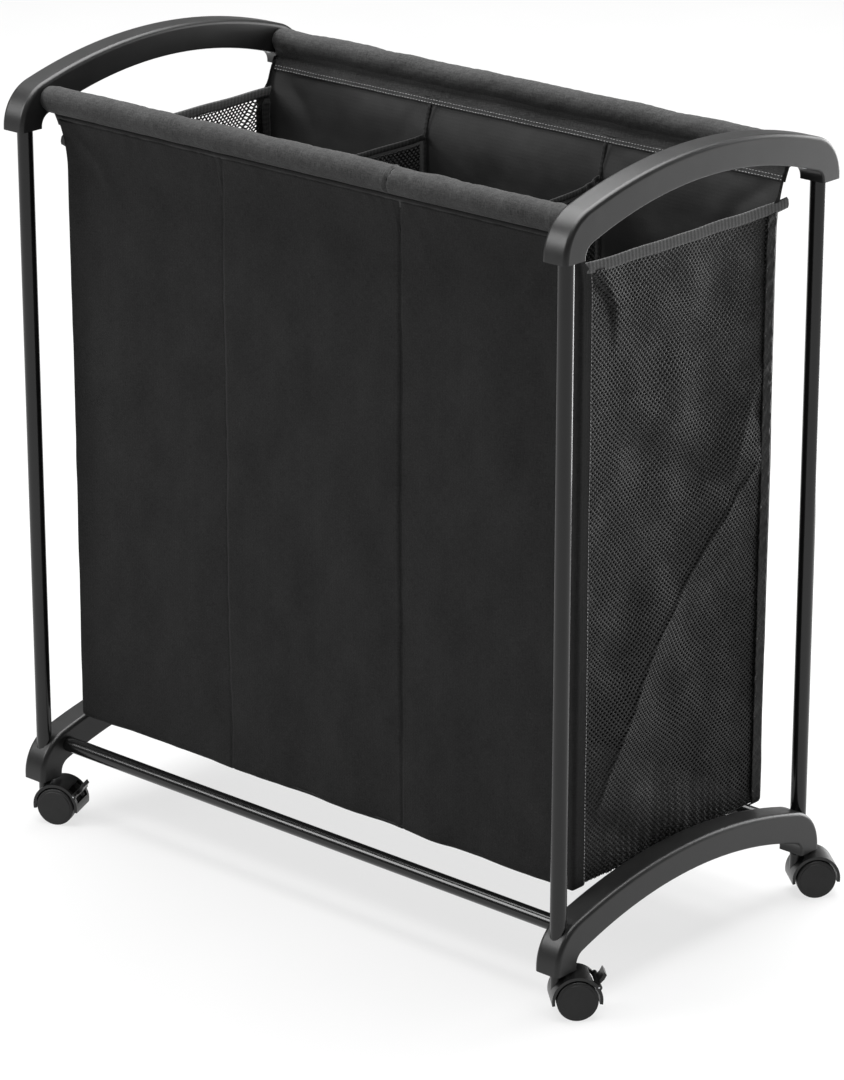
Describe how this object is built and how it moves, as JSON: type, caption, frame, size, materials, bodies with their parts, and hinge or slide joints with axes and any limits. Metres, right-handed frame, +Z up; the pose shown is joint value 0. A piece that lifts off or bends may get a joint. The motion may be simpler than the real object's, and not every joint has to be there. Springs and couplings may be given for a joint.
{
  "type": "rolling three-compartment laundry sorter cart",
  "caption": "Rolling laundry sorter: tubular frame with bowed handles and feet, a divided fabric bag with mesh ends, and swivelling twin-wheel casters.",
  "frame": {"origin": "on the floor, under the middle of the rectangle formed by the four uprights and caster stems", "axes": "+Z up, X along the long side of the cart, -Y towards the front with its seamed panel, +Y towards the rear"},
  "size_m": [0.7808, 0.4333, 0.813],
  "materials": {
    "arch_plastic": "satin",
    "tube_paint": "satin",
    "zinc_steel": "satin",
    "panel_fabric": "matte",
    "mesh_fabric": "matte",
    "binding_fabric": "matte",
    "caster_plastic": "satin",
    "wheel_nylon": "satin",
    "plug_nylon": "matte"
  },
  "bodies": {
    "frame": {"handle_left": "arch_plastic", "foot_left": "arch_plastic", "handle_right": "arch_plastic", "foot_right": "arch_plastic", "upright_front_left": "tube_paint", "upright_front_right": "tube_paint", "top_rail_front": "tube_paint", "bottom_rail_front": "tube_paint", "bag_panel_front": "panel_fabric", "bag_sleeve_front": "panel_fabric", "upright_rear_left": "tube_paint", "upright_rear_right": "tube_paint", "top_rail_rear": "tube_paint", "bottom_rail_rear": "tube_paint", "bag_panel_rear": "panel_fabric", "bag_sleeve_rear": "panel_fabric", "handle_screws": "zinc_steel", "foot_screws": "zinc_steel", "bag_bottom": "panel_fabric", "bag_mesh_left": "mesh_fabric", "mesh_band_left": "binding_fabric", "bag_divider_left": "mesh_fabric", "divider_band_left": "binding_fabric", "bag_mesh_right": "mesh_fabric", "mesh_band_right": "binding_fabric", "bag_divider_right": "mesh_fabric", "divider_band_right": "binding_fabric", "caster_stem_front_left": "zinc_steel", "caster_plug_front_left": "plug_nylon", "caster_stem_front_right": "zinc_steel", "caster_plug_front_right": "plug_nylon", "caster_stem_rear_left": "zinc_steel", "caster_plug_rear_left": "plug_nylon", "caster_stem_rear_right": "zinc_steel", "caster_plug_rear_right": "plug_nylon", "stem_grip_rings": "zinc_steel"},
    "swivel_front_left": {"caster_hood_front_left": "caster_plastic", "caster_axle_front_left": "zinc_steel", "lever_pin_front_left": "zinc_steel"},
    "wheel_a_body_front_left": {"wheel_a_front_left": "wheel_nylon"},
    "wheel_b_body_front_left": {"wheel_b_front_left": "wheel_nylon"},
    "lever_body_front_left": {"brake_lever_front_left": "caster_plastic"},
    "swivel_front_right": {"caster_hood_front_right": "caster_plastic", "caster_axle_front_right": "zinc_steel", "lever_pin_front_right": "zinc_steel"},
    "wheel_a_body_front_right": {"wheel_a_front_right": "wheel_nylon"},
    "wheel_b_body_front_right": {"wheel_b_front_right": "wheel_nylon"},
    "lever_body_front_right": {"brake_lever_front_right": "caster_plastic"},
    "swivel_rear_left": {"caster_hood_rear_left": "caster_plastic", "caster_axle_rear_left": "zinc_steel"},
    "wheel_a_body_rear_left": {"wheel_a_rear_left": "wheel_nylon"},
    "wheel_b_body_rear_left": {"wheel_b_rear_left": "wheel_nylon"},
    "swivel_rear_right": {"caster_hood_rear_right": "caster_plastic", "caster_axle_rear_right": "zinc_steel"},
    "wheel_a_body_rear_right": {"wheel_a_rear_right": "wheel_nylon"},
    "wheel_b_body_rear_right": {"wheel_b_rear_right": "wheel_nylon"}
  },
  "joints": [
    {"name": "swivel_turn_front_left", "type": "hinge", "parent": "frame", "child": "swivel_front_left", "pos_m": [-0.35, -0.186, 0.035], "axis": [0, 0, 1], "continuous": true},
    {"name": "wheel_spin_a_front_left", "type": "hinge", "parent": "swivel_front_left", "child": "wheel_a_body_front_left", "pos_m": [-0.33447, -0.17908, 0.02], "axis": [-0.4067, 0.9135, 0], "continuous": true},
    {"name": "wheel_spin_b_front_left", "type": "hinge", "parent": "swivel_front_left", "child": "wheel_b_body_front_left", "pos_m": [-0.33447, -0.17908, 0.02], "axis": [-0.4067, 0.9135, 0], "continuous": true},
    {"name": "brake_press_front_left", "type": "hinge", "parent": "swivel_front_left", "child": "lever_body_front_left", "pos_m": [-0.31593, -0.17083, 0.03318], "axis": [-0.4067, 0.9135, 0], "range_deg": [0, 30]},
    {"name": "swivel_turn_front_right", "type": "hinge", "parent": "frame", "child": "swivel_front_right", "pos_m": [0.35, -0.186, 0.035], "axis": [0, 0, 1], "continuous": true},
    {"name": "wheel_spin_a_front_right", "type": "hinge", "parent": "swivel_front_right", "child": "wheel_a_body_front_right", "pos_m": [0.36138, -0.17337, 0.02], "axis": [-0.7431, 0.6691, 0], "continuous": true},
    {"name": "wheel_spin_b_front_right", "type": "hinge", "parent": "swivel_front_right", "child": "wheel_b_body_front_right", "pos_m": [0.36138, -0.17337, 0.02], "axis": [-0.7431, 0.6691, 0], "continuous": true},
    {"name": "brake_press_front_right", "type": "hinge", "parent": "swivel_front_right", "child": "lever_body_front_right", "pos_m": [0.37496, -0.15828, 0.03318], "axis": [-0.7431, 0.6691, 0], "range_deg": [0, 30]},
    {"name": "swivel_turn_rear_left", "type": "hinge", "parent": "frame", "child": "swivel_rear_left", "pos_m": [-0.35, 0.186, 0.035], "axis": [0, 0, 1], "continuous": true},
    {"name": "wheel_spin_a_rear_left", "type": "hinge", "parent": "swivel_rear_left", "child": "wheel_a_body_rear_left", "pos_m": [-0.36138, 0.17337, 0.02], "axis": [0.7431, -0.6691, 0], "continuous": true},
    {"name": "wheel_spin_b_rear_left", "type": "hinge", "parent": "swivel_rear_left", "child": "wheel_b_body_rear_left", "pos_m": [-0.36138, 0.17337, 0.02], "axis": [0.7431, -0.6691, 0], "continuous": true},
    {"name": "swivel_turn_rear_right", "type": "hinge", "parent": "frame", "child": "swivel_rear_right", "pos_m": [0.35, 0.186, 0.035], "axis": [0, 0, 1], "continuous": true},
    {"name": "wheel_spin_a_rear_right", "type": "hinge", "parent": "swivel_rear_right", "child": "wheel_a_body_rear_right", "pos_m": [0.36093, 0.19902, 0.02], "axis": [-0.766, 0.6428, 0], "continuous": true},
    {"name": "wheel_spin_b_rear_right", "type": "hinge", "parent": "swivel_rear_right", "child": "wheel_b_body_rear_right", "pos_m": [0.36093, 0.19902, 0.02], "axis": [-0.766, 0.6428, 0], "continuous": true}
  ]
}
